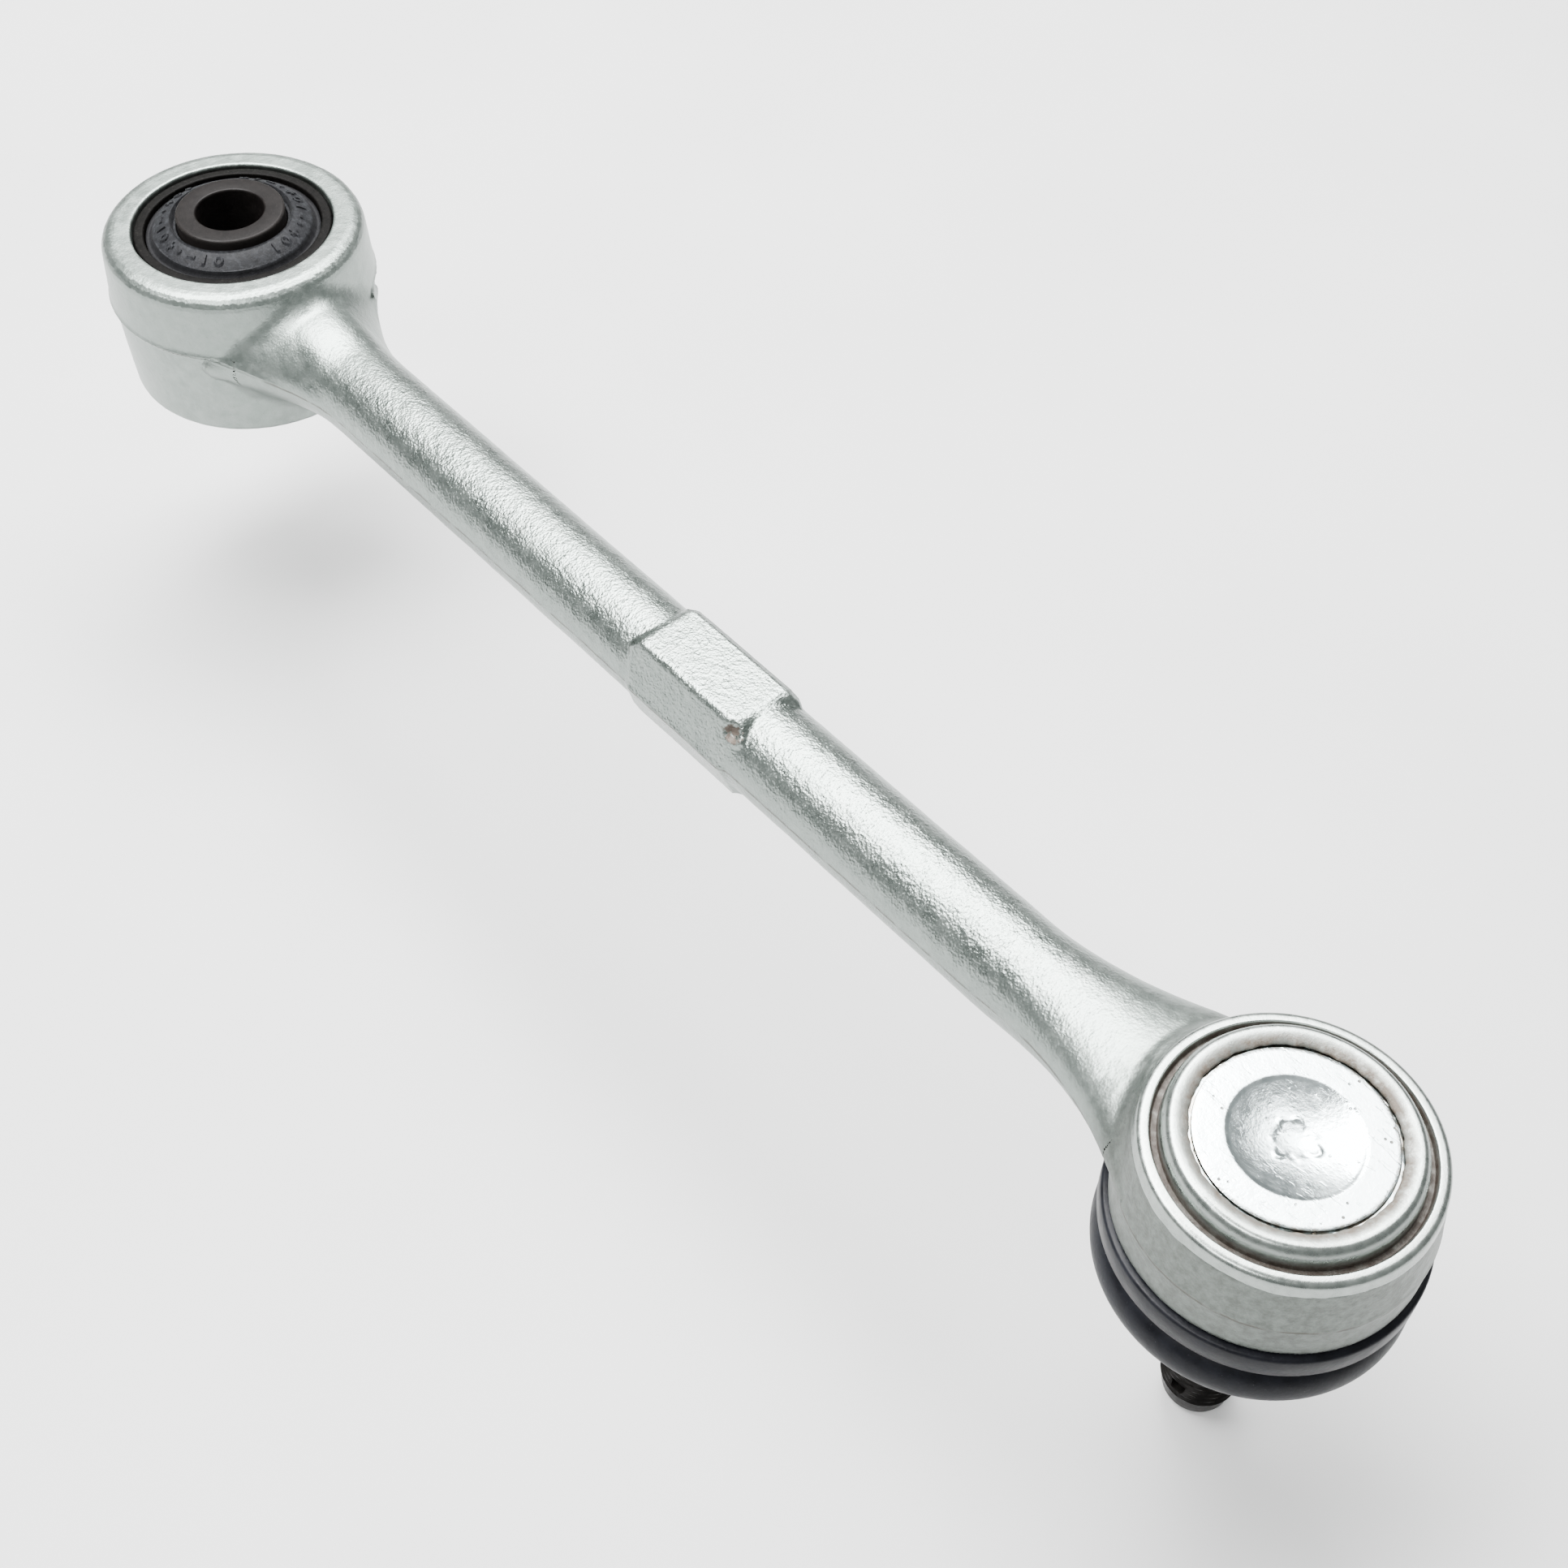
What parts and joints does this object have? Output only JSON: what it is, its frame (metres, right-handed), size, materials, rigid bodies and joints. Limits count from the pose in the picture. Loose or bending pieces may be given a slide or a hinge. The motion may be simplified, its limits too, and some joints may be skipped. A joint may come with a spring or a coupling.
{
  "type": "suspension control arm",
  "caption": "Forged round-rod suspension arm with a rubber bush in an eye at one end and a booted ball joint with a threaded stud at the other.",
  "frame": {"origin": "centre of the bush bore, half way along it", "axes": "+X along the rod from the bush to the ball joint, +Z along the bush bore, away from the side the stud leaves, +Y completes the right-handed set"},
  "size_m": [0.3444, 0.0574, 0.0881],
  "materials": {
    "zinc_plate": "satin zinc plate over a forged, shot-blasted skin",
    "cover_steel": "bright zinc plate on pressed steel",
    "sleeve_steel": "dark phosphated steel tube",
    "phosphated_steel": "dull phosphated steel",
    "stud_steel": "dark oiled steel",
    "ring_steel": "plain spring steel",
    "bush_rubber": "matte moulded rubber",
    "boot_rubber": "semi-gloss moulded rubber",
    "acetal": "natural acetal"
  },
  "bodies": {
    "bolt_sleeve": {"bush_inner_sleeve": "phosphated_steel"},
    "bush_core": {"bush_rubber": "bush_rubber"},
    "arm": {"arm_forging": "zinc_plate", "bush_outer_sleeve": "sleeve_steel", "race_lower": "acetal", "race_upper": "acetal", "cover_plate": "cover_steel", "boot_housing_ring": "ring_steel"},
    "boot_fold": {"dust_boot": "boot_rubber"},
    "boot_heel": {"boot_stud_ring": "ring_steel"},
    "stud": {"ball_stud": "stud_steel"}
  },
  "joints": [
    {"name": "bush_twist", "type": "hinge", "parent": "bolt_sleeve", "child": "bush_core", "pos_m": [0, 0, 0], "axis": [0, 0, 1], "range_deg": [-20, 20], "stiffness_Nm_per_rad": 60},
    {"name": "bush_tilt", "type": "hinge", "parent": "bush_core", "child": "arm", "pos_m": [0, 0, 0], "axis": [0, 1, 0], "range_deg": [-3.5, 3.5], "stiffness_Nm_per_rad": 230, "deforming": ["bush_rubber"]},
    {"name": "ball_swing_fore", "type": "hinge", "parent": "arm", "child": "boot_fold", "pos_m": [0.29, 0, -0.003], "axis": [0, 1, 0], "range_deg": [-18, 18], "deforming": ["dust_boot"]},
    {"name": "ball_swing_side", "type": "hinge", "parent": "boot_fold", "child": "boot_heel", "pos_m": [0.29, 0, -0.003], "axis": [1, 0, 0], "range_deg": [-18, 18]},
    {"name": "ball_spin", "type": "hinge", "parent": "boot_heel", "child": "stud", "pos_m": [0.29, 0, -0.003], "axis": [0, 0, 1], "continuous": true}
  ]
}
